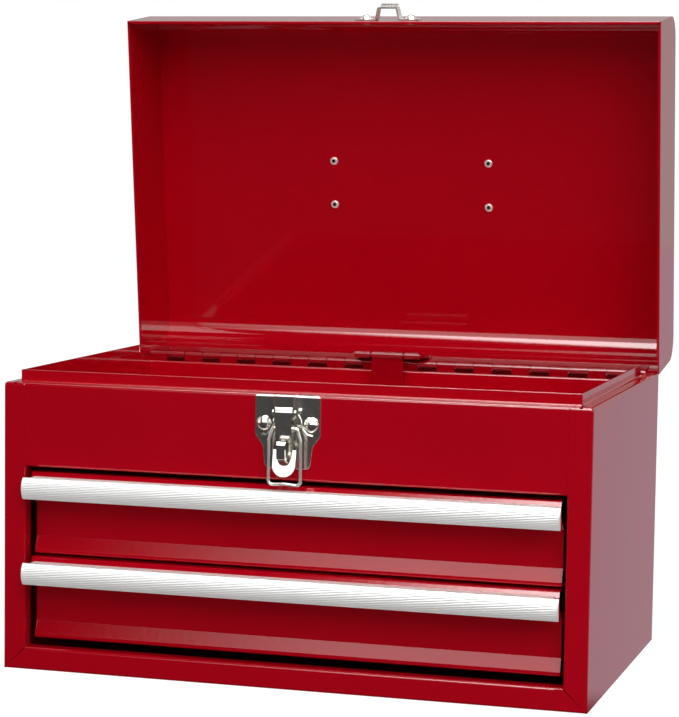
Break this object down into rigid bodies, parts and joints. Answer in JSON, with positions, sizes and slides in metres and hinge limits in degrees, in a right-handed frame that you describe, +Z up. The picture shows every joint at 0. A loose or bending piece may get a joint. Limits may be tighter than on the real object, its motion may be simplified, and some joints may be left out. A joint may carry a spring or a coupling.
{
  "type": "portable tool box",
  "caption": "Portable red sheet-steel tool box: drawers under a tray with a hinged lid standing open, with a draw latch, piano hinge, drawer lock bar and folding handle.",
  "frame": {"origin": "middle of the flat underside", "axes": "+X to the right seen from the front, +Y from the front to the back, +Z up"},
  "size_m": [0.36, 0.3042, 0.4117],
  "materials": {
    "red_paint": "gloss enamel",
    "hinge_red_paint": "gloss enamel over the hinge and lock steel",
    "zinc_plate": "zinc plated",
    "nickel_plate": "bright nickel plated",
    "ribbed_aluminium": "finely ribbed, clear",
    "black_plastic": "moulded, fine texture"
  },
  "bodies": {
    "cabinet": {"right_side_panel": "red_paint", "left_side_panel": "red_paint", "bottom_panel": "red_paint", "back_panel": "red_paint", "front_panel": "red_paint", "top_tray": "red_paint", "hinge_leaf_cabinet": "hinge_red_paint", "hinge_pin": "hinge_red_paint", "latch_base": "nickel_plate", "latch_rivets": "nickel_plate", "latch_staple": "nickel_plate", "latch_lever_pin": "nickel_plate", "upper_right_rail": "red_paint", "upper_left_rail": "red_paint", "lower_right_rail": "red_paint", "lower_left_rail": "red_paint"},
    "upper_drawer": {"upper_drawer_pan": "red_paint", "upper_drawer_front": "red_paint", "upper_drawer_pull": "ribbed_aluminium", "upper_pull_screws": "zinc_plate", "upper_right_runner": "red_paint", "upper_left_runner": "red_paint"},
    "lower_drawer": {"lower_drawer_pan": "red_paint", "lower_drawer_front": "red_paint", "lower_drawer_pull": "ribbed_aluminium", "lower_pull_screws": "zinc_plate", "lower_right_runner": "red_paint", "lower_left_runner": "red_paint"},
    "lid": {"lid_wrap": "red_paint", "lid_right_end": "red_paint", "lid_left_end": "red_paint", "hinge_leaf_lid": "hinge_red_paint", "lock_bracket": "hinge_red_paint", "lock_pin": "hinge_red_paint", "latch_keeper": "nickel_plate", "keeper_rivets": "nickel_plate", "handle_right_bracket": "nickel_plate", "handle_left_bracket": "nickel_plate", "handle_rivets": "nickel_plate"},
    "handle": {"handle_bail": "nickel_plate", "handle_grip": "black_plastic"},
    "lock_link": {"lock_bar": "hinge_red_paint"},
    "lever": {"latch_lever": "nickel_plate"},
    "bail": {"latch_bail": "nickel_plate"}
  },
  "joints": [
    {"name": "lid_hinge", "type": "hinge", "parent": "cabinet", "child": "lid", "pos_m": [0, 0.1123, 0.1744], "axis": [1, 0, 0], "range_deg": [0, 83]},
    {"name": "lock_bar_pivot", "type": "hinge", "parent": "lid", "child": "lock_link", "pos_m": [0, 0.1033, 0.1804], "axis": [1, 0, 0], "range_deg": [-83, 0]},
    {"name": "upper_drawer_slide", "type": "slide", "parent": "cabinet", "child": "upper_drawer", "axis": [0, -1, 0], "range_m": [0, 0.15]},
    {"name": "lower_drawer_slide", "type": "slide", "parent": "cabinet", "child": "lower_drawer", "axis": [0, -1, 0], "range_m": [0, 0.15]},
    {"name": "latch_lever_hinge", "type": "hinge", "parent": "cabinet", "child": "lever", "pos_m": [0, -0.1195, 0.1649], "axis": [1, 0, 0], "range_deg": [-100, 0]},
    {"name": "latch_bail_hinge", "type": "hinge", "parent": "lever", "child": "bail", "pos_m": [0, -0.119, 0.1557], "axis": [-1, 0, 0], "range_deg": [0, 180]},
    {"name": "handle_hinge", "type": "hinge", "parent": "lid", "child": "handle", "pos_m": [0, 0.16556, 0.29408], "axis": [1, 0, 0], "range_deg": [0, 180]}
  ],
  "couplings": [
    {"joint": "lock_bar_pivot", "follows": "lid_hinge", "ratio": -1}
  ]
}
